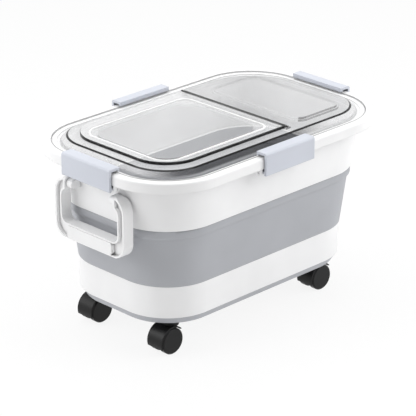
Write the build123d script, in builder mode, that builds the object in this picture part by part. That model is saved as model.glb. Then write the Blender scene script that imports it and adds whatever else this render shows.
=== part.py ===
"""Collapsible rice bin on swivel casters: a lower tub and an upper frame joined by a folding band,
a clear lid with a hinged flap, a latch on each side and a swinging handle at one end.

Millimetres, +Z up, floor at Z = 0 under the middle of the tub. The handle is at the -X end.
"""
import os

from build123d import *

# Rim, seen from above: every other outline is an inset from this one
rim_length = 438.0
rim_width = 280.0
rim_corner = 88.0
body_corner_share = 0.5
lid_corner_share = 1.0

# Heights, from the floor upwards
caster_height = 45.6
base_height = 10.4
lower_height = 44.2
band_height = 83.1
upper_height = 61.7
rim_height = 14.3

base_z = caster_height
tub_z = base_z + base_height
band_z = tub_z + lower_height
upper_z = band_z + band_height
skirt_z = upper_z + upper_height
rim_z = skirt_z + rim_height

# Insets of the outer surfaces from the rim's outline
base_bottom_inset = 42.0
base_top_inset = 36.6
lower_bottom_inset = 36.0
lower_top_inset = 35.0
band_bottom_inset = 34.6
band_top_inset = 25.6
collar_inset = 24.2
upper_bottom_inset = 23.0
upper_top_inset = 16.4

# Walls and gaps
wall = 2.5
floor_thickness = 3.0
band_wall = 2.2
tongue_wall = 2.0
bond_gap = 0.3
seat_gap = 0.1
running_gap = 0.05
press_gap = 0.01
overrun = 5.0

# Rim
skirt_wall = 2.6
rim_round = 2.6
seat_depth = 3.3
seat_plate = 3.0
seat_inset = 9.9
seat_z = rim_z - seat_depth
seat_under_z = seat_z - seat_plate

# Folding band and the tongues that it is moulded on
upper_tongue = 20.0
lower_tongue = 12.0
upper_ledge = 2.5
collar_height = 12.0

# Base tray and its caster bosses
base_plate = 2.5
base_round = 2.0
boss_radius = 10.0
caster_end_margin = 77.0
caster_side_margin = 72.5
caster_x = rim_length / 2 - caster_end_margin
caster_y = rim_width / 2 - caster_side_margin
rib_thickness = 2.0

# Casters
wheel_radius = 18.0
wheel_inner_y = 3.6
wheel_outer_y = 14.2
wheel_edge = 1.6
wheel_cap = 1.6
axle_radius = 2.5
axle_end_gap = 0.4
trail = 8.0
hood_gap = 0.9
hood_wall = 1.9
hood_half_y = 13.4
hood_drop = 7.0
hood_rear_rise = 13.5
core_drop = 5.0
neck_radius = 11.5
neck_gap = 0.5
stem_radius = 4.0
stem_end_gap = 1.6
socket_wall = 2.0
socket_flange_radius = 8.5
socket_flange = 1.2

# Clear lid
flange_inset = 10.4
flange_thickness = 2.7
flange_rise = 0.8
slope_inset = 23.0
deck_inset = 32.3
deck_rise = 5.1
lid_wall = 2.4
plug_gap = 0.9
plug_wall = 2.0
plug_depth = 7.0
lid_seal_width = 7.0
flange_z = rim_z + flange_rise
flange_under_z = flange_z - flange_thickness
deck_z = flange_z + deck_rise
deck_under_z = deck_z - lid_wall

# Fixed window, recessed in the deck beside the flap
window_left_gap = 34.0
window_right_margin = 54.0
window_side_margin = 57.0
window_corner = 16.0
window_depth = 3.0

# Flap over the lid's mouth
flap_left_margin = 44.5
flap_right_share = 0.10274
flap_side_margin = 45.0
flap_left_x = flap_left_margin - rim_length / 2
flap_right_x = flap_right_share * rim_length
flap_width = rim_width - 2 * flap_side_margin
flap_corner = 50.0
flap_hinge_corner = 1.2
flap_thickness = 2.2
flap_lift = 0.3
flap_rise = 4.3
flap_skirt = 2.0
flap_edge = 0.8
flap_z = deck_z + flap_rise
flap_skirt_z = deck_z + flap_lift
hinge_bead = (flap_z - flap_skirt_z) / 2
hinge_x = flap_right_x - hinge_bead
hinge_z = flap_z - hinge_bead
hinge_pin_radius = 1.1
hinge_pin_depth = 7.0
lug_thickness = 4.0
lug_half_length = 4.5
lug_gap = 0.4

# Mouth under the flap, its rib and the flap's seal
mouth_margin = 22.0
mouth_corner = 30.0
mouth_rib = 1.8
mouth_rib_rise = 1.1
flap_seal_inset = 15.0
flap_seal_width = 4.0
flap_seal_gap = 0.3

# Latches
latch_length = 90.0
latch_thickness = 3.4
latch_face_gap = 0.8
latch_bottom_drop = 9.0
latch_reach = 13.0
latch_lip = 3.2
latch_lip_gap = 0.3
latch_leg_rise = 2.2
latch_round = 3.2
latch_axis_inset = 4.6
latch_axis_drop = 5.2
knuckle_radius = 3.2
latch_pin_radius = 1.5
ear_radius = 3.5
ear_thickness = 4.5
ear_gap = 0.7
latch_axis_z = skirt_z - latch_axis_drop
latch_leg_under_z = flange_z + latch_lip_gap + latch_leg_rise
latch_top_z = latch_leg_under_z + latch_thickness
latch_bottom_z = skirt_z - latch_bottom_drop

# Swinging handle
handle_width = 129.0
handle_arm = 12.0
handle_depth = 16.3
handle_front_inset = 0.5
handle_grip_height = 22.0
handle_pivot_drop = 24.0
handle_length = 75.0
handle_top_rise = 8.5
handle_corner = 21.0
handle_inner_corner = 10.0
handle_hook_length = 18.9
handle_hook_height = 15.0
handle_edge = 1.6
handle_hook_round = 6.0
channel_flange = 2.6
channel_depth = 5.0
handle_pin_radius = 2.5
handle_pin_end = 10.0
handle_boss_radius = 5.8
handle_boss_length = 10.0
handle_boss_end = 2.0
handle_boss_gap = 0.5
plate_margin = 22.5
plate_proud = 1.2
plate_corner = 4.0
plate_edge = 1.0
handle_front_x = handle_front_inset - rim_length / 2
handle_back_x = handle_front_x + handle_depth
handle_pivot_x = handle_front_x + handle_depth / 2
handle_hook_y = handle_width / 2 - handle_hook_length
handle_pivot_z = skirt_z - handle_pivot_drop
handle_bottom_z = handle_pivot_z - handle_length
handle_top_z = handle_pivot_z + handle_top_rise
grip_top_z = handle_bottom_z + handle_grip_height
handle_boss_y = handle_hook_y - handle_boss_gap


def outline(inset, corner_share=body_corner_share, mode=Mode.ADD):
    """Rounded rectangle at an inset from the rim's outline."""
    corner = rim_corner - corner_share * inset
    RectangleRounded(rim_length - 2 * inset, rim_width - 2 * inset, corner, mode=mode)


def taper(low_z, low_inset, high_z, high_inset, corner_share=body_corner_share, mode=Mode.ADD):
    """Tapered block between two rounded outlines."""
    with BuildSketch(Plane.XY.offset(low_z)) as low:
        outline(low_inset, corner_share)
    with BuildSketch(Plane.XY.offset(high_z)) as high:
        outline(high_inset, corner_share)
    loft(sections=[low.sketch.face(), high.sketch.face()], ruled=True, mode=mode)


def band_outer(z):
    """Inset of the folding band's outer face at a height."""
    return band_bottom_inset - (band_bottom_inset - band_top_inset) * (z - band_z) / band_height


def upper_outer(z):
    """Inset of the upper frame's outer face at a height."""
    return upper_bottom_inset - (upper_bottom_inset - upper_top_inset) * (z - upper_z) / upper_height


def save(builder, name):
    """Label a finished piece and write it."""
    builder.part.label = name
    export_step(builder.part, f"parts/{name}.step")


os.makedirs("parts", exist_ok=True)

caster_places = {
    "front_left": (-caster_x, -caster_y),
    "front_right": (caster_x, -caster_y),
    "back_left": (-caster_x, caster_y),
    "back_right": (caster_x, caster_y),
}

# Each side's plane: local x points outwards from the rim, local y points up
side_planes = {
    "front": Plane(origin=(0, -rim_width / 2, 0), x_dir=(0, -1, 0), z_dir=(-1, 0, 0)),
    "back": Plane(origin=(0, rim_width / 2, 0), x_dir=(0, 1, 0), z_dir=(1, 0, 0)),
    "left": Plane(origin=(-rim_length / 2, 0, 0), x_dir=(-1, 0, 0), z_dir=(0, 1, 0)),
    "right": Plane(origin=(rim_length / 2, 0, 0), x_dir=(1, 0, 0), z_dir=(0, -1, 0)),
}

# Lower tub: floor, tapered wall and the tongue inside the folding band
tub_inner_bottom = lower_bottom_inset + wall
tub_tongue_z = band_z + lower_tongue
tub_tongue_low = band_outer(band_z) + band_wall + seat_gap
tub_tongue_high = band_outer(tub_tongue_z) + band_wall + seat_gap
with BuildPart() as lower_tub:
    taper(tub_z, lower_bottom_inset, band_z, lower_top_inset)
    taper(band_z, tub_tongue_low, tub_tongue_z, tub_tongue_high)
    taper(
        tub_z + floor_thickness,
        tub_inner_bottom,
        band_z,
        tub_tongue_low + tongue_wall,
        mode=Mode.SUBTRACT,
    )
    taper(
        band_z,
        tub_tongue_low + tongue_wall,
        tub_tongue_z,
        tub_tongue_high + tongue_wall,
        mode=Mode.SUBTRACT,
    )
save(lower_tub, "lower_tub")

# Base tray under the tub, with a boss for each caster socket
socket_radius = stem_radius + running_gap + socket_wall
with BuildPart() as base_tray:
    taper(base_z, base_bottom_inset, tub_z, base_top_inset)
    fillet(base_tray.edges().group_by(Axis.Z)[0], base_round)
    taper(
        base_z + base_plate,
        base_bottom_inset + wall,
        tub_z,
        base_top_inset + wall,
        mode=Mode.SUBTRACT,
    )
    with BuildSketch(Plane.XY.offset(base_z + base_plate)):
        with Locations(*caster_places.values()):
            Circle(boss_radius)
        with GridLocations(2 * caster_x, 0, 2, 1):
            Rectangle(rib_thickness, 2 * caster_y)
        with GridLocations(0, 2 * caster_y, 1, 2):
            Rectangle(2 * caster_x, rib_thickness)
    extrude(amount=base_height - base_plate)
    with BuildSketch(Plane.XY.offset(base_z)):
        with Locations(*caster_places.values()):
            Circle(socket_radius + press_gap)
    extrude(amount=base_height, mode=Mode.SUBTRACT)
    with BuildSketch(Plane.XY.offset(base_z)):
        with Locations(*caster_places.values()):
            Circle(socket_flange_radius + press_gap)
    extrude(amount=socket_flange, mode=Mode.SUBTRACT)
save(base_tray, "base_tray")

# Folding band: a tapered sleeve with a thicker collar under the upper frame
band_top_z = upper_z - bond_gap
collar_z = upper_z - collar_height
with BuildPart() as fold_band:
    taper(band_z, band_bottom_inset, band_top_z, band_outer(band_top_z))
    taper(collar_z, collar_inset, band_top_z, collar_inset)
    taper(
        band_z,
        band_bottom_inset + band_wall,
        band_top_z,
        band_outer(band_top_z) + band_wall,
        mode=Mode.SUBTRACT,
    )
save(fold_band, "fold_band")

# Upper frame: rim with a turned-down skirt, a seat for the lid, the wall and the band's tongue
tongue_low_z = upper_z - upper_tongue
tongue_low = band_outer(tongue_low_z) + band_wall + bond_gap
tongue_high = band_outer(upper_z) + band_wall + bond_gap
ledge_z = upper_z + upper_ledge
ear_start = latch_length / 2 + ear_gap
boss_wall_inset = upper_outer(handle_pivot_z) + wall / 2
with BuildPart() as upper_frame:
    with BuildSketch(Plane.XY.offset(skirt_z)):
        outline(0)
    extrude(amount=rim_height)
    fillet(upper_frame.edges().group_by(Axis.Z)[-1], rim_round)
    with BuildSketch(Plane.XY.offset(skirt_z)):
        outline(skirt_wall)
    extrude(amount=seat_under_z - skirt_z, mode=Mode.SUBTRACT)
    with BuildSketch(Plane.XY.offset(seat_z)):
        outline(seat_inset, lid_corner_share)
    extrude(amount=seat_depth, mode=Mode.SUBTRACT)
    taper(upper_z, upper_bottom_inset, seat_under_z, upper_outer(seat_under_z))
    taper(tongue_low_z, tongue_low, upper_z, tongue_high)
    for plane in side_planes.values():
        for side in (-1, 1):
            with BuildSketch(plane.offset(side * (ear_start + ear_thickness / 2))):
                with Locations((-latch_axis_inset, latch_axis_z)):
                    Circle(ear_radius)
                with Locations((-latch_axis_inset, (latch_axis_z + seat_z) / 2)):
                    Rectangle(2 * ear_radius, seat_z - latch_axis_z)
            extrude(amount=ear_thickness / 2, both=True)
    for side in (-1, 1):
        with BuildSketch(Plane.XZ.offset(side * (handle_boss_y - handle_boss_length / 2))):
            with Locations((handle_pivot_x, handle_pivot_z)):
                Circle(handle_boss_radius)
            with Locations(((handle_pivot_x - rim_length / 2 + boss_wall_inset) / 2, handle_pivot_z)):
                Rectangle(rim_length / 2 - boss_wall_inset + handle_pivot_x, 2 * handle_boss_radius)
        extrude(amount=handle_boss_length / 2, both=True)
    taper(
        tongue_low_z,
        tongue_low + tongue_wall,
        ledge_z,
        tongue_high + tongue_wall,
        mode=Mode.SUBTRACT,
    )
    taper(
        ledge_z,
        upper_outer(ledge_z) + wall,
        rim_z,
        upper_outer(rim_z) + wall,
        mode=Mode.SUBTRACT,
    )
    for plane in side_planes.values():
        with BuildSketch(plane):
            with Locations((-latch_axis_inset, latch_axis_z)):
                Circle(latch_pin_radius + press_gap)
        extrude(amount=ear_start + ear_thickness + overrun, both=True, mode=Mode.SUBTRACT)
    for side in (-1, 1):
        with BuildSketch(Plane.XZ.offset(side * handle_boss_y)):
            with Locations((handle_pivot_x, handle_pivot_z)):
                Circle(handle_pin_radius + press_gap)
        extrude(amount=-side * (handle_boss_length - handle_boss_end), mode=Mode.SUBTRACT)
save(upper_frame, "upper_frame")

# Flap's outline and the mouth below it share one set of edges
flap_length = flap_right_x - flap_left_x
flap_mid_x = (flap_right_x + flap_left_x) / 2


def flap_outline(inset):
    """Flap's outline at an inset: round at the free end, nearly square at the hinge."""
    with Locations((flap_mid_x, 0)):
        Rectangle(flap_length - 2 * inset, flap_width - 2 * inset)
    free_end = vertices().group_by(Axis.X)[0]
    hinge_end = vertices().group_by(Axis.X)[-1]
    fillet(free_end, flap_corner - inset)
    fillet(hinge_end, flap_hinge_corner + inset)


# Lid frame: flange on the rim, sloped step, deck with the mouth and the recessed window
plug_inset = upper_outer(seat_z) + wall + plug_gap
mouth_length = flap_length - 2 * mouth_margin
window_left_x = flap_right_x + window_left_gap
window_right_x = rim_length / 2 - window_right_margin
window_length = window_right_x - window_left_x
window_width = rim_width - 2 * window_side_margin
window_x = (window_left_x + window_right_x) / 2
mouth_width = flap_width - 2 * mouth_margin
lug_y = flap_width / 2 + lug_gap + lug_thickness / 2
with BuildPart() as lid_frame:
    with BuildSketch(Plane.XY.offset(flange_under_z)):
        outline(flange_inset, lid_corner_share)
    extrude(amount=flange_thickness)
    taper(flange_z, slope_inset, deck_z, deck_inset, lid_corner_share)
    taper(
        flange_under_z,
        slope_inset + lid_wall,
        deck_under_z,
        deck_inset + lid_wall,
        lid_corner_share,
        mode=Mode.SUBTRACT,
    )
    with BuildSketch(Plane.XY.offset(flange_under_z)):
        outline(plug_inset)
        outline(plug_inset + plug_wall, mode=Mode.SUBTRACT)
    extrude(amount=-plug_depth)
    with BuildSketch(Plane.XY.offset(deck_under_z - window_depth)):
        with Locations((window_x, 0)):
            RectangleRounded(
                window_length + 2 * lid_wall,
                window_width + 2 * lid_wall,
                window_corner + lid_wall,
            )
    extrude(amount=window_depth)
    with BuildSketch(Plane.XY.offset(deck_z)):
        with Locations((window_x, 0)):
            RectangleRounded(window_length, window_width, window_corner)
    extrude(amount=-window_depth, mode=Mode.SUBTRACT)
    with BuildSketch(Plane.XY.offset(deck_z)):
        with Locations((flap_mid_x, 0)):
            RectangleRounded(mouth_length + 2 * mouth_rib, mouth_width + 2 * mouth_rib, mouth_corner + mouth_rib)
    extrude(amount=mouth_rib_rise)
    with BuildSketch(Plane.XY.offset(deck_under_z - overrun)):
        with Locations((flap_mid_x, 0)):
            RectangleRounded(mouth_length, mouth_width, mouth_corner)
    extrude(amount=deck_rise + 2 * overrun, mode=Mode.SUBTRACT)
    for side in (-1, 1):
        with BuildSketch(Plane.XZ.offset(side * lug_y)):
            with Locations((hinge_x, (deck_under_z + hinge_z) / 2)):
                Rectangle(2 * lug_half_length, hinge_z - deck_under_z)
            with Locations((hinge_x, hinge_z)):
                Circle(hinge_bead)
        extrude(amount=lug_thickness / 2, both=True)
    with BuildSketch(Plane.XZ):
        with Locations((hinge_x, hinge_z)):
            Circle(hinge_pin_radius + press_gap)
    extrude(amount=lug_y + lug_thickness + overrun, both=True, mode=Mode.SUBTRACT)
save(lid_frame, "lid_frame")

# Seal ring between the lid's flange and its seat on the rim
with BuildPart() as lid_seal:
    with BuildSketch(Plane.XY.offset(seat_z)):
        outline(flange_inset, lid_corner_share)
        outline(flange_inset + lid_seal_width, lid_corner_share, mode=Mode.SUBTRACT)
    extrude(amount=flange_under_z - seat_z)
save(lid_seal, "lid_seal")

# Flap: thin plate with a turned-down edge, and a round bead along the hinge
with BuildPart() as flap_panel:
    with BuildSketch(Plane.XY.offset(flap_skirt_z)):
        flap_outline(0)
    extrude(amount=flap_z - flap_skirt_z)
    chamfer(flap_panel.edges().group_by(Axis.Z)[-1], flap_edge)
    with BuildSketch(Plane.XY.offset(flap_skirt_z)):
        flap_outline(flap_skirt)
    extrude(amount=flap_z - flap_thickness - flap_skirt_z, mode=Mode.SUBTRACT)
    with BuildSketch(Plane.XZ):
        with Locations((hinge_x + hinge_bead / 2, hinge_z)):
            Rectangle(hinge_bead, 2 * hinge_bead)
    extrude(amount=flap_width / 2, both=True, mode=Mode.SUBTRACT)
    with BuildSketch(Plane.XZ):
        with Locations((hinge_x, hinge_z)):
            Circle(hinge_bead)
    extrude(amount=flap_width / 2, both=True)
    for side in (-1, 1):
        with BuildSketch(Plane.XZ.offset(side * flap_width / 2)):
            with Locations((hinge_x, hinge_z)):
                Circle(hinge_pin_radius + running_gap)
        extrude(amount=-side * (hinge_pin_depth + flap_seal_gap), mode=Mode.SUBTRACT)
save(flap_panel, "flap_panel")

# Pins through the lid's lugs into the ends of the flap's bead
with BuildPart() as flap_hinge_pins:
    for side in (-1, 1):
        with BuildSketch(Plane.XZ.offset(side * (lug_y + lug_thickness / 2))):
            with Locations((hinge_x, hinge_z)):
                Circle(hinge_pin_radius)
        extrude(amount=-side * (lug_thickness + lug_gap + hinge_pin_depth))
save(flap_hinge_pins, "flap_hinge_pins")

# Seal ring under the flap, round the mouth's rib
with BuildPart() as flap_seal:
    with BuildSketch(Plane.XY.offset(deck_z + flap_seal_gap)):
        flap_outline(flap_seal_inset)
        with BuildSketch(mode=Mode.SUBTRACT):
            flap_outline(flap_seal_inset + flap_seal_width)
    extrude(amount=flap_z - flap_thickness - deck_z - flap_seal_gap)
save(flap_seal, "flap_seal")

# Latches: face plate, leg over the lid's flange with a hooked lip, knuckle under the skirt
lip_under_z = flange_z + latch_lip_gap
for name, plane in side_planes.items():
    with BuildPart() as latch:
        with BuildSketch(plane):
            with BuildLine():
                Polyline(
                    (latch_face_gap, latch_bottom_z),
                    (latch_face_gap + latch_thickness, latch_bottom_z),
                    (latch_face_gap + latch_thickness, latch_top_z),
                    (-latch_reach, latch_top_z),
                    (-latch_reach, lip_under_z),
                    (-latch_reach + latch_lip, lip_under_z),
                    (-latch_reach + latch_lip, latch_leg_under_z),
                    (latch_face_gap, latch_leg_under_z),
                    close=True,
                )
            make_face()
            fillet(vertices().group_by(Axis.X)[-1].sort_by(Axis.Y)[-1], latch_round)
            with Locations((-latch_axis_inset, latch_axis_z)):
                Circle(knuckle_radius)
            with Locations(((latch_face_gap - latch_axis_inset) / 2, latch_axis_z)):
                Rectangle(latch_face_gap + latch_axis_inset + latch_thickness, knuckle_radius)
        extrude(amount=latch_length / 2, both=True)
        with BuildSketch(plane):
            with Locations((-latch_axis_inset, latch_axis_z)):
                Circle(latch_pin_radius + running_gap)
        extrude(amount=latch_length, both=True, mode=Mode.SUBTRACT)
    save(latch, f"latch_{name}")
    with BuildPart() as latch_pin:
        with BuildSketch(plane):
            with Locations((-latch_axis_inset, latch_axis_z)):
                Circle(latch_pin_radius)
        extrude(amount=ear_start + ear_thickness, both=True)
    save(latch_pin, f"latch_pin_{name}")

# Handle: a loop with hooked ends, channelled on its outer face
handle_mid_z = (handle_bottom_z + handle_top_z) / 2
opening_top_z = handle_top_z - handle_hook_height
opening_mid_z = (grip_top_z + opening_top_z) / 2
handle_inner_width = handle_width - 2 * handle_arm
channel_x = handle_front_x + channel_depth
hook_cut_height = handle_hook_height + handle_edge


def handle_loop(shrink):
    """Handle's outline, drawn in by a flange's width on every side, in a plane across X."""
    with Locations((0, handle_mid_z)):
        RectangleRounded(
            handle_width - 2 * shrink,
            handle_top_z - handle_bottom_z - 2 * shrink,
            handle_corner - shrink,
        )
    with Locations((0, opening_mid_z)):
        RectangleRounded(
            handle_inner_width + 2 * shrink,
            opening_top_z - grip_top_z + 2 * shrink,
            handle_inner_corner + shrink,
            mode=Mode.SUBTRACT,
        )
    with Locations((0, handle_top_z)):
        Rectangle(2 * (handle_hook_y + shrink), 2 * (hook_cut_height + shrink), mode=Mode.SUBTRACT)


with BuildPart() as handle:
    with BuildSketch(Plane.YZ.offset(handle_back_x)):
        handle_loop(0)
    extrude(amount=-handle_depth)
    with BuildSketch(Plane.XZ):
        with Locations((handle_front_x + handle_depth / 2, handle_mid_z)):
            Rectangle(handle_depth, handle_top_z - handle_bottom_z)
        fillet(vertices().group_by(Axis.Y)[-1], handle_hook_round)
        fillet(vertices().group_by(Axis.Y)[0], handle_edge)
    extrude(amount=handle_width, both=True, mode=Mode.INTERSECT)
    with BuildSketch(Plane.YZ.offset(handle_front_x)):
        handle_loop(channel_flange)
    extrude(amount=channel_depth, mode=Mode.SUBTRACT)
    with BuildSketch(Plane.XZ):
        with Locations((handle_pivot_x, handle_pivot_z)):
            Circle(handle_pin_radius + running_gap)
    extrude(amount=handle_width / 2 - handle_pin_end + bond_gap, both=True, mode=Mode.SUBTRACT)
save(handle, "handle")

# Bare plate that fills the channel along the grip
plate_height = handle_grip_height - 2 * channel_flange - 2 * seat_gap
plate_length = handle_width - 2 * plate_margin
with BuildPart() as handle_grip_plate:
    with BuildSketch(Plane.YZ.offset(channel_x)):
        with Locations((0, (handle_bottom_z + grip_top_z) / 2)):
            RectangleRounded(plate_length, plate_height, plate_corner)
    extrude(amount=-channel_depth - plate_proud)
    fillet(handle_grip_plate.edges().group_by(Axis.X)[0], plate_edge)
save(handle_grip_plate, "handle_grip_plate")

# Pins from the frame's bosses into the handle's hooked ends
handle_pin_start = handle_boss_y - handle_boss_length + handle_boss_end
handle_pin_length = handle_width / 2 - handle_pin_end - handle_pin_start
with BuildPart() as handle_pins:
    for side in (-1, 1):
        with BuildSketch(Plane.XZ.offset(side * handle_pin_start)):
            with Locations((handle_pivot_x, handle_pivot_z)):
                Circle(handle_pin_radius)
        extrude(amount=side * handle_pin_length)
save(handle_pins, "handle_pins")

# Casters: a hood over two wheels on one axle, turning on a stem in a sleeve
hood_inner = wheel_radius + hood_gap
hood_outer = hood_inner + hood_wall
neck_top_z = base_z - neck_gap
stem_top_z = tub_z - stem_end_gap
for name, (x, y) in caster_places.items():
    wheel_x = x - trail
    hood_plane = Plane(origin=(wheel_x, y, wheel_radius), x_dir=(1, 0, 0), z_dir=(0, -1, 0))
    wheel_plane = Plane(origin=(wheel_x, y, wheel_radius), x_dir=(0, 1, 0), z_dir=(1, 0, 0))
    axle_line = Axis((wheel_x, y, wheel_radius), (0, 1, 0))

    with BuildPart() as caster_socket:
        with BuildSketch(Plane.XY.offset(base_z)):
            with Locations((x, y)):
                Circle(socket_radius)
        extrude(amount=base_height - seat_gap)
        with BuildSketch(Plane.XY.offset(base_z)):
            with Locations((x, y)):
                Circle(socket_flange_radius)
        extrude(amount=socket_flange)
        with BuildSketch(Plane.XY.offset(base_z)):
            with Locations((x, y)):
                Circle(stem_radius + running_gap)
        extrude(amount=base_height, mode=Mode.SUBTRACT)
    save(caster_socket, f"caster_socket_{name}")

    with BuildPart() as caster_hood:
        with BuildSketch(hood_plane):
            Circle(hood_outer)
            Circle(hood_inner, mode=Mode.SUBTRACT)
            with Locations((hood_outer / 2, hood_rear_rise - hood_outer)):
                Rectangle(hood_outer, 2 * hood_outer, mode=Mode.SUBTRACT)
            with Locations((-hood_outer / 2, -hood_drop - hood_outer)):
                Rectangle(hood_outer, 2 * hood_outer, mode=Mode.SUBTRACT)
        extrude(amount=hood_half_y, both=True)
        with BuildSketch(hood_plane):
            Circle(hood_inner + hood_wall / 2)
            with Locations((0, -core_drop - hood_outer)):
                Rectangle(2 * hood_outer, 2 * hood_outer, mode=Mode.SUBTRACT)
        extrude(amount=wheel_inner_y - hood_gap, both=True)
        with BuildSketch(Plane.XY.offset(wheel_radius + hood_inner)):
            with Locations((x, y)):
                Circle(neck_radius)
        extrude(amount=neck_top_z - wheel_radius - hood_inner)
        with BuildSketch(Plane.XY.offset(neck_top_z)):
            with Locations((x, y)):
                Circle(stem_radius)
        extrude(amount=stem_top_z - neck_top_z)
        with BuildSketch(hood_plane):
            Circle(axle_radius + running_gap)
        extrude(amount=hood_half_y, both=True, mode=Mode.SUBTRACT)
    save(caster_hood, f"caster_hood_{name}")

    with BuildPart() as caster_wheels:
        with BuildSketch(wheel_plane):
            with BuildLine():
                Polyline(
                    (wheel_inner_y, axle_radius + press_gap),
                    (wheel_outer_y - wheel_cap, axle_radius + press_gap),
                    (wheel_outer_y - wheel_cap, 0),
                    (wheel_outer_y, 0),
                    (wheel_outer_y, wheel_radius - wheel_edge),
                    (wheel_outer_y - wheel_edge, wheel_radius),
                    (wheel_inner_y + wheel_edge, wheel_radius),
                    (wheel_inner_y, wheel_radius - wheel_edge),
                    close=True,
                )
            make_face()
        revolve(axis=axle_line)
        mirror(about=Plane.XZ.offset(-y))
    save(caster_wheels, f"caster_wheels_{name}")

    with BuildPart() as caster_axle:
        with BuildSketch(hood_plane):
            Circle(axle_radius)
        extrude(amount=wheel_outer_y - wheel_cap - axle_end_gap, both=True)
    save(caster_axle, f"caster_axle_{name}")
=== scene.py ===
"""Looks of the collapsible rice bin: camera, light, floor, materials, the folding band and the seals.

Metres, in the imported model's frame: +Z up, floor at Z = 0, the handle at the -X end.
"""
import math

import bmesh
import bpy
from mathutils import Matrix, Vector


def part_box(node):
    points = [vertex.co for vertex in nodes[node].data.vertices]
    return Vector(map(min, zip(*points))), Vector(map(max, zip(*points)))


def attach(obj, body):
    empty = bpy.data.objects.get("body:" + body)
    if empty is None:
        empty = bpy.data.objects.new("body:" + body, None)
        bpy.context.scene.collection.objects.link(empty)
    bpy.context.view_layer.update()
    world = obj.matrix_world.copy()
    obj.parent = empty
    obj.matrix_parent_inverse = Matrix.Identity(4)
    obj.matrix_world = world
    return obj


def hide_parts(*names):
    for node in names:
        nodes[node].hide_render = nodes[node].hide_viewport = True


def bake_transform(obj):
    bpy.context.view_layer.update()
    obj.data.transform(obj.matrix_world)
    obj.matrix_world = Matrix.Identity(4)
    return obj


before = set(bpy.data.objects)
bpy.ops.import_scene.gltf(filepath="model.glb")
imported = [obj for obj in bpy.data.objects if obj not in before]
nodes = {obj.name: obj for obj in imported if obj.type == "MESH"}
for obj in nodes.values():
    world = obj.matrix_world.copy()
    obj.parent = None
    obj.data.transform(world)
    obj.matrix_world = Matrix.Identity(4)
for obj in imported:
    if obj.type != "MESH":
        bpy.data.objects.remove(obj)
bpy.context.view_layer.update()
_, rim_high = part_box("upper_frame")
band_low, band_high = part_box("fold_band")
mouth_low, mouth_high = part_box("flap_seal")
flap_low, flap_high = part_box("flap_panel")
MM = 0.001

# Camera, in pixels of the photograph's square frame, degrees and metres
FRAME_PIXELS = 416
SENSOR_MM = 36.0
FOCAL_PIXELS = 2239.26
CENTRE_X_PIXELS = 211.06
AZIMUTH = -44.91
ELEVATION = 22.67
DISTANCE = 3.001
TARGET_HEIGHT = 0.1369
VIEW_REACH = 50

# Light and floor, in metres and watts
WORLD_LEVEL = 0.4
FRONT_PLACE = (1.2, -1.4, 1.2)
FRONT_POWER = 22.0
END_PLACE = (-1.4, 0.9, 1.1)
END_POWER = 16.5
TOP_PLACE = (0.2, 0.3, 1.8)
TOP_POWER = 17.5
SIDE_LAMP_SIZE = 1.4
TOP_LAMP_SIZE = 1.6
FLOOR_REACH = 6.0
FLOOR_COLOUR = (0.93, 0.93, 0.93)
FLOOR_ROUGHNESS = 0.9
FLOOR_GLOW_SHARE = 0.88

# The clear lid and its flap put more than the usual 8 see-through faces in a line
CLEAR_LAYERS = 32

# Outlines: the rim's plan and how its corners tighten with an inset
HALF_LENGTH = rim_high.x
HALF_WIDTH = rim_high.y
RIM_CORNER = 88 * MM
BODY_CORNER_SHARE = 0.5
CORNER_STEPS = 24
SHARP_DEGREES = 50

# Folding band
BAND_WALL = 2.2 * MM
BAND_BOTTOM_INSET = 34.6 * MM
BAND_TOP_INSET = 25.6 * MM
COLLAR_INSET = 24.2 * MM
COLLAR_HEIGHT = 11.7 * MM
COLLAR_ROUND = 1.4 * MM
BAND_EDGE = 0.5 * MM
BAND_RINGS = 30

# Seals: each bites a little into the part above, so that no two faces lie in the same place
SEAL_ROUND = 0.5 * MM
SEAL_BITE = 0.1 * MM
LID_SEAL_WIDTH = 7.0 * MM
LID_SEAL_CORNER = 77.6 * MM
FLAP_SEAL_WIDTH = 2.8 * MM
FLAP_SEAL_CORNER = 26.0 * MM
FLAP_SEAL_HINGE_CORNER = 16.2 * MM

# Colours
WHITE = (0.88, 0.88, 0.884)
PLATE_WHITE = (0.85, 0.85, 0.854)
SEAL_WHITE = (0.9, 0.9, 0.9)
BAND_GREY = (0.415, 0.425, 0.452)
BASE_GREY = (0.44, 0.45, 0.48)
LATCH_GREY = (0.585, 0.61, 0.675)
BLACK = (0.004, 0.004, 0.0042)
STEEL = (0.55, 0.55, 0.56)

# Opaque materials: slow drift of colour, uneven polish, fine grain and softened edges
DRIFT_SCALE = 14
DRIFT_DETAIL = 2
DRIFT_PLACES = (0.3, 0.7)
POLISH_SCALE = 60
POLISH_DETAIL = 3
POLISH_SPREAD = 0.06
GRAIN_DETAIL = 3
GRAIN_DEPTH = 0.2 * MM
EDGE_SAMPLES = 6
CASTER_GLOSS = 0.25

# Painted shade in crevices and between parts: how far the occlusion reaches, over what openness the
# colour deepens, and to what level
CREVICE_SHADE_REACH = 6.0 * MM
CREVICE_SHADE_RANGE = (0.25, 0.75)
CREVICE_SHADE_LEVEL = 0.5
CREVICE_SHADE_SAMPLES = 8

# Upper wall: how far the band's moulding rises on faces that look inside, which are those whose place in
# plan, measured along their normal, is below the limit
LEDGE_RISE = 2.6 * MM
OUTWARD_LIMIT = 20 * MM

# Clear lid: which faces are steep, upright, or turned to the back or front, by their normals
STEEP_LIMIT = 0.95
UPRIGHT_LIMIT = 0.3
ANY_TILT = -1
BACK_TURN = (0.55, 0.95)
FRONT_TURN = (-0.1, -0.42)
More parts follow.
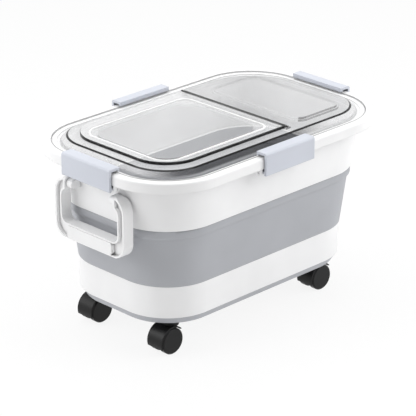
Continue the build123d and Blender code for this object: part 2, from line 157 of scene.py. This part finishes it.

# Clear lid: where its painted dark lines, its painted front shade and its regions lie
FRONT_FADE = (110 * MM, 40 * MM)
FLANGE_LOW = 257.2 * MM
DECK_LOW = 262.6 * MM
DECK_LINE = 1.5 * MM
FLAP_LIFT = 0.3 * MM
FLAP_LINE = 4.2 * MM
HINGE_LINE = 8.0 * MM
WINDOW_LOW = (79 * MM, -83 * MM)
WINDOW_HIGH = (165 * MM, 83 * MM)

# Clear lid: colours, among them the black of its painted dark reflections, and how much each kind of face
# hides what is behind it
CLEAR_TINT = (0.88, 0.885, 0.89)
CLEAR_EDGE = (0.92, 0.92, 0.925)
CLEAR_PAINTED_DARK = (0.006, 0.006, 0.0065)
CLEAR_IOR = 1.5
CLEAR_GLOSS = 0.15
CLEAR_ROUGHNESS = (0.03, 0.1)
CLEAR_HAZE = 0.03
WINDOW_HAZE = 0.11
STEEP_HAZE = 0.24
PAINTED_OUTLINE_COVER = 0.5
PAINTED_FRONT_SHADE = 0.11
DECK_HAZE = 0.05
BORDER_HAZE = 0.2
BESIDE_HAZE = 0.2
PAINTED_LINE_COVER = 0.95
CLOUD_SCALE = 35
CLOUD_DETAIL = 3
CLOUD_RANGE = (0.92, 1.08)


def corner_arc(centre_x, centre_y, radius, start_degrees):
    """Points of a quarter circle, anticlockwise from above."""
    points = []
    for step in range(CORNER_STEPS + 1):
        angle = math.radians(start_degrees + 90 * step / CORNER_STEPS)
        points.append((centre_x + radius * math.cos(angle), centre_y + radius * math.sin(angle)))
    return points


def rounded_outline(left, right, half_width, left_corner, right_corner):
    """Closed outline in plan with its own corner radius at each end."""
    top, bottom = half_width, -half_width
    return (
        corner_arc(right - right_corner, top - right_corner, right_corner, 0)
        + corner_arc(left + left_corner, top - left_corner, left_corner, 90)
        + corner_arc(left + left_corner, bottom + left_corner, left_corner, 180)
        + corner_arc(right - right_corner, bottom + right_corner, right_corner, 270)
    )


def body_outline(inset):
    """Outline of the tub at an inset from the rim."""
    half_length = HALF_LENGTH - inset
    corner = RIM_CORNER - BODY_CORNER_SHARE * inset
    return rounded_outline(-half_length, half_length, HALF_WIDTH - inset, corner, corner)


def ring_mesh(name, rings):
    """Closed ring from a loop of profile stations, each an outline and its height."""
    mesh = bmesh.new()
    loops = []
    for outline, height in rings:
        loops.append([mesh.verts.new((x, y, height)) for x, y in outline])
    for index, loop in enumerate(loops):
        following = loops[(index + 1) % len(loops)]
        count = len(loop)
        for place in range(count):
            after = (place + 1) % count
            mesh.faces.new((loop[place], loop[after], following[after], following[place]))
    bmesh.ops.recalc_face_normals(mesh, faces=mesh.faces)
    for face in mesh.faces:
        face.smooth = True
    data = bpy.data.meshes.new(name)
    mesh.to_mesh(data)
    mesh.free()
    data.set_sharp_from_angle(angle=math.radians(SHARP_DEGREES))
    piece = bpy.data.objects.new(name, data)
    bpy.context.scene.collection.objects.link(piece)
    return piece


def new_material(name):
    """Node material with its main shader."""
    material = bpy.data.materials.new(name)
    material.use_nodes = True
    tree = material.node_tree
    return material, tree, tree.nodes["Principled BSDF"]


def shade(colour, level):
    """Colour made lighter or darker by a factor."""
    return tuple(min(1.0, channel * level) for channel in colour)


def noise(tree, scale, detail, coordinates):
    """Noise texture in object space, in features per metre."""
    texture = tree.nodes.new("ShaderNodeTexNoise")
    texture.inputs["Scale"].default_value = scale
    texture.inputs["Detail"].default_value = detail
    tree.links.new(coordinates, texture.inputs["Vector"])
    return texture.outputs["Fac"]


def ramp(tree, factor, places, colours):
    """Colour that runs from one to another between two places of a factor."""
    node = tree.nodes.new("ShaderNodeValToRGB")
    for element, place, colour in zip(node.color_ramp.elements, places, colours):
        element.position = place
        element.color = (*colour, 1)
    tree.links.new(factor, node.inputs["Fac"])
    return node.outputs["Color"]


def mix_colour(tree, factor, first, second):
    """Blend of two colours, each a socket or plain colour."""
    node = tree.nodes.new("ShaderNodeMix")
    node.data_type = "RGBA"
    tree.links.new(factor, node.inputs["Factor"])
    for name, value in (("A", first), ("B", second)):
        socket = [slot for slot in node.inputs if slot.name == name and slot.type == "RGBA"][0]
        if isinstance(value, tuple):
            socket.default_value = (*value, 1)
        else:
            tree.links.new(value, socket)
    return [slot for slot in node.outputs if slot.type == "RGBA"][0]


def rescale(tree, value, source=(0, 1), target=(0, 1)):
    """Value carried from the source range to the target range, and held within it."""
    node = tree.nodes.new("ShaderNodeMapRange")
    limits = (*source, *target)
    for socket, limit in zip(("From Min", "From Max", "To Min", "To Max"), limits):
        node.inputs[socket].default_value = limit
    tree.links.new(value, node.inputs["Value"])
    return node.outputs["Result"]


def split(tree, vector):
    """X, Y and Z of a vector, as sockets."""
    node = tree.nodes.new("ShaderNodeSeparateXYZ")
    tree.links.new(vector, node.inputs["Vector"])
    return node.outputs


def vector_maths(tree, operation, first, second):
    """Vector maths node, with a socket or plain vector as its second input."""
    node = tree.nodes.new("ShaderNodeVectorMath")
    node.operation = operation
    tree.links.new(first, node.inputs[0])
    if isinstance(second, bpy.types.NodeSocket):
        tree.links.new(second, node.inputs[1])
    else:
        node.inputs[1].default_value = second
    return node.outputs["Value" if operation == "DOT_PRODUCT" else "Vector"]


def maths(tree, operation, *values):
    """Maths node fed by sockets or plain numbers."""
    node = tree.nodes.new("ShaderNodeMath")
    node.operation = operation
    for socket, value in zip(node.inputs, values):
        if isinstance(value, (int, float)):
            socket.default_value = value
        else:
            tree.links.new(value, socket)
    return node.outputs[0]


def over(tree, value, limit):
    """1 where a value is above a limit."""
    return maths(tree, "GREATER_THAN", value, limit)


def under(tree, value, limit):
    """1 where a value is below a limit."""
    return maths(tree, "LESS_THAN", value, limit)


def both(tree, first, *others):
    """Product of masks: 1 where all of them are 1."""
    result = first
    for mask in others:
        result = maths(tree, "MULTIPLY", result, mask)
    return result


def either(tree, first, second):
    """Larger of two masks."""
    return maths(tree, "MAXIMUM", first, second)


def band_over(tree, coordinates, base, foot):
    """Colour with the band's moulding over the foot of the upper wall.

    foot is the height up to which it covers all faces, the height up to which it covers faces that look
    inside, and its colour.
    """
    all_top, inner_top, colour = foot
    position = coordinates.outputs["Object"]
    height = split(tree, position)["Z"]
    plan = vector_maths(tree, "MULTIPLY", position, (1, 1, 0))
    outward = vector_maths(tree, "DOT_PRODUCT", coordinates.outputs["Normal"], plan)
    inside = both(tree, under(tree, outward, OUTWARD_LIMIT), under(tree, height, inner_top))
    covered = either(tree, inside, under(tree, height, all_top))
    return mix_colour(tree, covered, base, colour)


def opaque_material(
    name,
    colour,
    roughness,
    grain_scale=2600,
    grain=0.02,
    edge=0.8 * MM,
    drift=0.03,
    gloss=0.5,
    metallic=0.0,
    foot=None,
    own_crevice_shade=False,
):
    """Moulded plastic, rubber or steel: fine grain, slow colour drift, painted crevice shade, uneven
    polish and softened edges.

    foot is where the soft band is moulded over the piece, as band_over takes it.
    The last argument keeps the painted crevice shade to the piece's own corners, for pieces under the
    clear lid.
    """
    material, tree, shader = new_material(name)
    coordinates = tree.nodes.new("ShaderNodeTexCoord")
    place = coordinates.outputs["Object"]

    slow = noise(tree, DRIFT_SCALE, DRIFT_DETAIL, place)
    base = ramp(tree, slow, DRIFT_PLACES, (shade(colour, 1 - drift), shade(colour, 1 + drift)))
    # Painted shade: the colour deepens where ambient occlusion finds surfaces close by
    crevice_shade = tree.nodes.new("ShaderNodeAmbientOcclusion")
    crevice_shade.samples = CREVICE_SHADE_SAMPLES
    crevice_shade.only_local = own_crevice_shade
    crevice_shade.inputs["Distance"].default_value = CREVICE_SHADE_REACH
    openness = rescale(tree, crevice_shade.outputs["AO"], source=CREVICE_SHADE_RANGE)
    base = mix_colour(tree, openness, shade(colour, CREVICE_SHADE_LEVEL), base)
    if foot:
        base = band_over(tree, coordinates, base, foot)
    tree.links.new(base, shader.inputs["Base Color"])

    polish = noise(tree, POLISH_SCALE, POLISH_DETAIL, place)
    rough = rescale(tree, polish, target=(roughness - POLISH_SPREAD, roughness + POLISH_SPREAD))
    tree.links.new(rough, shader.inputs["Roughness"])
    shader.inputs["Specular IOR Level"].default_value = gloss
    shader.inputs["Metallic"].default_value = metallic

    bevel = tree.nodes.new("ShaderNodeBevel")
    bevel.samples = EDGE_SAMPLES
    bevel.inputs["Radius"].default_value = edge
    bump = tree.nodes.new("ShaderNodeBump")
    bump.inputs["Strength"].default_value = grain
    bump.inputs["Distance"].default_value = GRAIN_DEPTH
    tree.links.new(noise(tree, grain_scale, GRAIN_DETAIL, place), bump.inputs["Height"])
    tree.links.new(bevel.outputs["Normal"], bump.inputs["Normal"])
    tree.links.new(bump.outputs["Normal"], shader.inputs["Normal"])
    return material


def clear_plastic(
    name, centre, line_z, line_tilt, back_line, hinge_x, border, beside, window_low, window_high
):
    """Clear plastic with painted dark reflections on its turned faces: black along the top edge, grey
    elsewhere.

    centre tells outer faces from inner ones. line_z is where the painted black edge starts, line_tilt the
    least tilt of its faces, and back_line how strongly it shows on faces that look towards +Y. hinge_x is
    where the painted dark hinge edge starts, which is past the end of a piece that has none. border is
    the haze of flat faces outside the window, and beside what is added to it round the flap.
    """
    material, tree, shader = new_material(name)
    coordinates = tree.nodes.new("ShaderNodeTexCoord")
    normal, position = coordinates.outputs["Normal"], coordinates.outputs["Object"]
    facing = split(tree, normal)
    place = split(tree, position)
    offset = vector_maths(tree, "SUBTRACT", position, centre)
    outer = over(tree, vector_maths(tree, "DOT_PRODUCT", normal, offset), 0)
    tilt = maths(tree, "ABSOLUTE", facing["Z"])
    steep = under(tree, tilt, STEEP_LIMIT)
    turned = both(tree, outer, steep)

    # Painted dark reflections along the edges and outlines, and painted shade on faces turned to the
    # front
    upright = both(tree, outer, under(tree, tilt, UPRIGHT_LIMIT), over(tree, place["Z"], FLANGE_LOW))
    to_back = rescale(tree, facing["Y"], source=BACK_TURN)
    strength = maths(tree, "MULTIPLY_ADD", to_back, back_line - 1, 1)
    # Painted dark reflection: black line along the top edge of turned outer faces, and along the hinge
    edge = both(tree, turned, over(tree, place["Z"], line_z), over(tree, tilt, line_tilt), strength)
    hinge = both(tree, outer, over(tree, place["X"], hinge_x))
    line = either(tree, edge, hinge)
    # Painted shade on steep outer faces turned to the front, fading out towards +X
    to_front = rescale(tree, facing["Y"], source=FRONT_TURN)
    front = both(tree, turned, to_front, rescale(tree, place["X"], source=FRONT_FADE))
    dark = either(tree, line, either(tree, front, upright))
    tint = mix_colour(tree, steep, CLEAR_TINT, CLEAR_EDGE)
    tree.links.new(mix_colour(tree, dark, tint, CLEAR_PAINTED_DARK), shader.inputs["Base Color"])

    # Haze of each kind of face, with the cover of the painted dark lines and of the painted front shade
    window = both(
        tree,
        over(tree, place["X"], window_low[0]),
        under(tree, place["X"], window_high[0]),
        over(tree, place["Y"], window_low[1]),
        under(tree, place["Y"], window_high[1]),
    )
    rim = both(tree, outer, maths(tree, "SUBTRACT", 1, steep), maths(tree, "SUBTRACT", 1, window))
    near_flap = both(tree, under(tree, place["X"], flap_high.x), over(tree, place["Z"], DECK_LOW))
    rim_haze = maths(tree, "MULTIPLY_ADD", near_flap, beside, border)
    sloped = both(tree, steep, over(tree, tilt, UPRIGHT_LIMIT))
    haze = maths(tree, "MULTIPLY_ADD", window, WINDOW_HAZE, CLEAR_HAZE)
    for mask, level in (
        (rim, rim_haze),
        (sloped, STEEP_HAZE),
        (upright, PAINTED_OUTLINE_COVER),
        (front, PAINTED_FRONT_SHADE),
    ):
        haze = maths(tree, "MULTIPLY_ADD", mask, level, haze)
    haze = either(tree, haze, maths(tree, "MULTIPLY", line, PAINTED_LINE_COVER))
    clouding = noise(tree, CLOUD_SCALE, CLOUD_DETAIL, position)
    haze = maths(tree, "MULTIPLY", haze, rescale(tree, clouding, target=CLOUD_RANGE))
    tree.links.new(haze, shader.inputs["Alpha"])

    tree.links.new(rescale(tree, clouding, target=CLEAR_ROUGHNESS), shader.inputs["Roughness"])
    shader.inputs["IOR"].default_value = CLEAR_IOR
    shader.inputs["Specular IOR Level"].default_value = CLEAR_GLOSS
    return material


def paint(node_names, material):
    """Gives carried-over CAD nodes a material."""
    for name in node_names:
        node = nodes[name]
        node.data.materials.clear()
        node.data.materials.append(material)


def with_prefix(prefix):
    """Names of the CAD nodes that start so."""
    return [name for name in nodes if name.startswith(prefix)]


# Materials
white_plastic = opaque_material("white_plastic", WHITE, roughness=0.36)
upper_plastic = opaque_material(
    "upper_plastic",
    WHITE,
    roughness=0.36,
    foot=(band_high.z, band_high.z + LEDGE_RISE, BAND_GREY),
    own_crevice_shade=True,
)
plate_plastic = opaque_material("plate_plastic", PLATE_WHITE, roughness=0.44, grain=0.05)
band_rubber = opaque_material("band_rubber", BAND_GREY, roughness=0.58, grain_scale=1800, grain=0.05)
base_plastic = opaque_material("base_plastic", BASE_GREY, roughness=0.45)
latch_plastic = opaque_material("latch_plastic", LATCH_GREY, roughness=0.38, edge=1.0 * MM)
caster_plastic = opaque_material(
    "caster_plastic",
    BLACK,
    roughness=0.4,
    grain_scale=1500,
    grain=0.08,
    drift=0.1,
    gloss=CASTER_GLOSS,
)
wheel_plastic = opaque_material(
    "wheel_plastic", BLACK, roughness=0.34, grain=0.04, drift=0.1, gloss=CASTER_GLOSS
)
socket_plastic = opaque_material("socket_plastic", BLACK, roughness=0.5, drift=0.1)
seal_rubber = opaque_material("seal_rubber", SEAL_WHITE, roughness=0.5, edge=0.3 * MM, own_crevice_shade=True)
pin_steel = opaque_material("pin_steel", STEEL, roughness=0.3, edge=0.2 * MM, metallic=1.0)
lid_clear = clear_plastic(
    "lid_clear",
    centre=(0, 0, 0),
    line_z=flap_low.z - FLAP_LIFT - DECK_LINE,
    line_tilt=UPRIGHT_LIMIT,
    back_line=1,
    hinge_x=HALF_LENGTH,
    border=DECK_HAZE,
    beside=BESIDE_HAZE,
    window_low=WINDOW_LOW,
    window_high=WINDOW_HIGH,
)
flap_clear = clear_plastic(
    "flap_clear",
    centre=(flap_low + flap_high) / 2,
    line_z=flap_high.z - FLAP_LINE,
    line_tilt=ANY_TILT,
    back_line=0,
    hinge_x=flap_high.x - HINGE_LINE,
    border=BORDER_HAZE,
    beside=0,
    window_low=mouth_low,
    window_high=mouth_high,
)

paint(["lower_tub", "handle"], white_plastic)
paint(["upper_frame"], upper_plastic)
paint(["handle_grip_plate"], plate_plastic)
paint(["base_tray"], base_plastic)
paint(["lid_frame"], lid_clear)
paint(["flap_panel"], flap_clear)
paint([f"latch_{side}" for side in ("front", "back", "left", "right")], latch_plastic)
paint(with_prefix("latch_pin"), pin_steel)
paint(["flap_hinge_pins", "handle_pins"], pin_steel)
paint(with_prefix("caster_hood"), caster_plastic)
paint(with_prefix("caster_wheels"), wheel_plastic)
paint(with_prefix("caster_socket"), socket_plastic)
paint(with_prefix("caster_axle"), pin_steel)
paint(["fold_band"], band_rubber)
paint(["lid_seal", "flap_seal"], seal_rubber)

# Folding band: a soft tapered sleeve with a rounded collar
band_height = band_high.z - band_low.z
collar_z = band_high.z - COLLAR_HEIGHT
sleeve_low = band_low.z + BAND_EDGE
sleeve_height = collar_z - COLLAR_ROUND - band_low.z - BAND_EDGE


def band_inset(height):
    """Inset of the sleeve's outer face at a height."""
    share = (height - band_low.z) / band_height
    return BAND_BOTTOM_INSET + (BAND_TOP_INSET - BAND_BOTTOM_INSET) * share


stations = [(BAND_BOTTOM_INSET + BAND_EDGE, band_low.z)]
for ring in range(BAND_RINGS + 1):
    height = sleeve_low + sleeve_height * ring / BAND_RINGS
    stations.append((band_inset(height), height))
stations += [
    (band_inset(collar_z) - COLLAR_ROUND / 4, collar_z - COLLAR_ROUND / 4),
    (COLLAR_INSET + COLLAR_ROUND / 3, collar_z + COLLAR_ROUND / 6),
    (COLLAR_INSET, collar_z + COLLAR_ROUND),
    (COLLAR_INSET, (collar_z + band_high.z) / 2),
    (COLLAR_INSET, band_high.z - BAND_EDGE),
    (COLLAR_INSET + BAND_EDGE, band_high.z),
    (BAND_TOP_INSET + BAND_WALL, band_high.z),
]
for ring in range(1, BAND_RINGS + 1):
    height = band_high.z - band_height * ring / BAND_RINGS
    stations.append((band_inset(height) + BAND_WALL, height))
band = ring_mesh("folding_band", [(body_outline(inset), height) for inset, height in stations])
band.data.materials.append(band_rubber)
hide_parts("fold_band")
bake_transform(band)


def seal_ring(node, name, width, left_corner, right_corner):
    """Soft seal with a rounded section, in the place of its CAD ring."""
    low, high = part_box(node)
    top = high.z + SEAL_BITE
    middle = (low.z + top) / 2
    profile = [
        (SEAL_ROUND, low.z),
        (0, low.z + SEAL_ROUND),
        (0, top - SEAL_ROUND),
        (SEAL_ROUND, top),
        (width / 2, top),
        (width - SEAL_ROUND, top),
        (width, top - SEAL_ROUND),
        (width - SEAL_ROUND, middle),
        (width, low.z + SEAL_ROUND),
        (width - SEAL_ROUND, low.z),
        (width / 2, low.z),
    ]
    rings = []
    for inset, height in profile:
        left, right, half_width = low.x + inset, high.x - inset, high.y - inset
        outline = rounded_outline(left, right, half_width, left_corner - inset, right_corner - inset)
        rings.append((outline, height))
    piece = ring_mesh(name, rings)
    piece.data.materials.append(seal_rubber)
    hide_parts(node)
    return piece


lid_gasket = seal_ring("lid_seal", "lid_gasket", LID_SEAL_WIDTH, LID_SEAL_CORNER, LID_SEAL_CORNER)
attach(lid_gasket, "upper")
flap_gasket = seal_ring(
    "flap_seal", "flap_gasket", FLAP_SEAL_WIDTH, FLAP_SEAL_CORNER, FLAP_SEAL_HINGE_CORNER
)
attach(flap_gasket, "flap")

# Camera at the photograph's viewing angle
azimuth = math.radians(AZIMUTH)
elevation = math.radians(ELEVATION)
level_reach = math.cos(elevation)
back = Vector((math.sin(azimuth) * level_reach, -math.cos(azimuth) * level_reach, math.sin(elevation)))
target = Vector((0, 0, TARGET_HEIGHT))
camera_data = bpy.data.cameras.new("camera")
camera_data.sensor_width = SENSOR_MM
camera_data.lens = FOCAL_PIXELS * SENSOR_MM / FRAME_PIXELS
camera_data.shift_x = (FRAME_PIXELS / 2 - CENTRE_X_PIXELS) / FRAME_PIXELS
camera_data.clip_end = VIEW_REACH
camera = bpy.data.objects.new("camera", camera_data)
camera.location = target + back * DISTANCE
camera.rotation_euler = (-back).to_track_quat("-Z", "Y").to_euler()
bpy.context.scene.collection.objects.link(camera)
bpy.context.scene.camera = camera


def seen_directly(tree):
    """1 on rays from the camera, or reflected or refracted towards it."""
    rays = tree.nodes.new("ShaderNodeLightPath").outputs
    mirrored = either(tree, rays["Is Glossy Ray"], rays["Is Transmission Ray"])
    return either(tree, rays["Is Camera Ray"], mirrored)


def soft_light(name, place, size, power):
    """Square area lamp aimed at the middle of the bin."""
    data = bpy.data.lights.new(name, "AREA")
    data.size = size
    data.energy = power
    lamp = bpy.data.objects.new(name, data)
    lamp.location = place
    lamp.rotation_euler = (target - Vector(place)).to_track_quat("-Z", "Y").to_euler()
    bpy.context.scene.collection.objects.link(lamp)


# Soft studio light
world = bpy.data.worlds.new("studio")
bpy.context.scene.world = world
world.use_nodes = True
sky = world.node_tree
sky_shader = sky.nodes["Background"]
sky_shader.inputs["Color"].default_value = (1, 1, 1, 1)
sky_level = rescale(sky, seen_directly(sky), target=(WORLD_LEVEL, 1))
sky.links.new(sky_level, sky_shader.inputs["Strength"])
soft_light("front_box", FRONT_PLACE, SIDE_LAMP_SIZE, FRONT_POWER)
soft_light("end_box", END_PLACE, SIDE_LAMP_SIZE, END_POWER)
soft_light("top_box", TOP_PLACE, TOP_LAMP_SIZE, TOP_POWER)

# Pale floor that keeps the bin's shadow
floor_data = bpy.data.meshes.new("floor")
corners = [(x * FLOOR_REACH, y * FLOOR_REACH, 0) for x, y in ((-1, -1), (1, -1), (1, 1), (-1, 1))]
floor_data.from_pydata(corners, [], [(0, 1, 2, 3)])
floor = bpy.data.objects.new("floor", floor_data)
bpy.context.scene.collection.objects.link(floor)
floor_material, floor_tree, floor_shader = new_material("floor")
floor_shader.inputs["Base Color"].default_value = (*FLOOR_COLOUR, 1)
floor_shader.inputs["Roughness"].default_value = FLOOR_ROUGHNESS
floor_glow = floor_tree.nodes.new("ShaderNodeEmission")
floor_mix = floor_tree.nodes.new("ShaderNodeMixShader")
floor_seen = rescale(floor_tree, seen_directly(floor_tree), target=(0, FLOOR_GLOW_SHARE))
floor_output = floor_tree.nodes["Material Output"]
floor_tree.links.new(floor_seen, floor_mix.inputs["Fac"])
floor_tree.links.new(floor_shader.outputs["BSDF"], floor_mix.inputs[1])
floor_tree.links.new(floor_glow.outputs["Emission"], floor_mix.inputs[2])
floor_tree.links.new(floor_mix.outputs["Shader"], floor_output.inputs["Surface"])
floor_data.materials.append(floor_material)

bpy.context.scene.view_settings.view_transform = "Standard"
bpy.context.scene.cycles.transparent_max_bounces = CLEAR_LAYERS
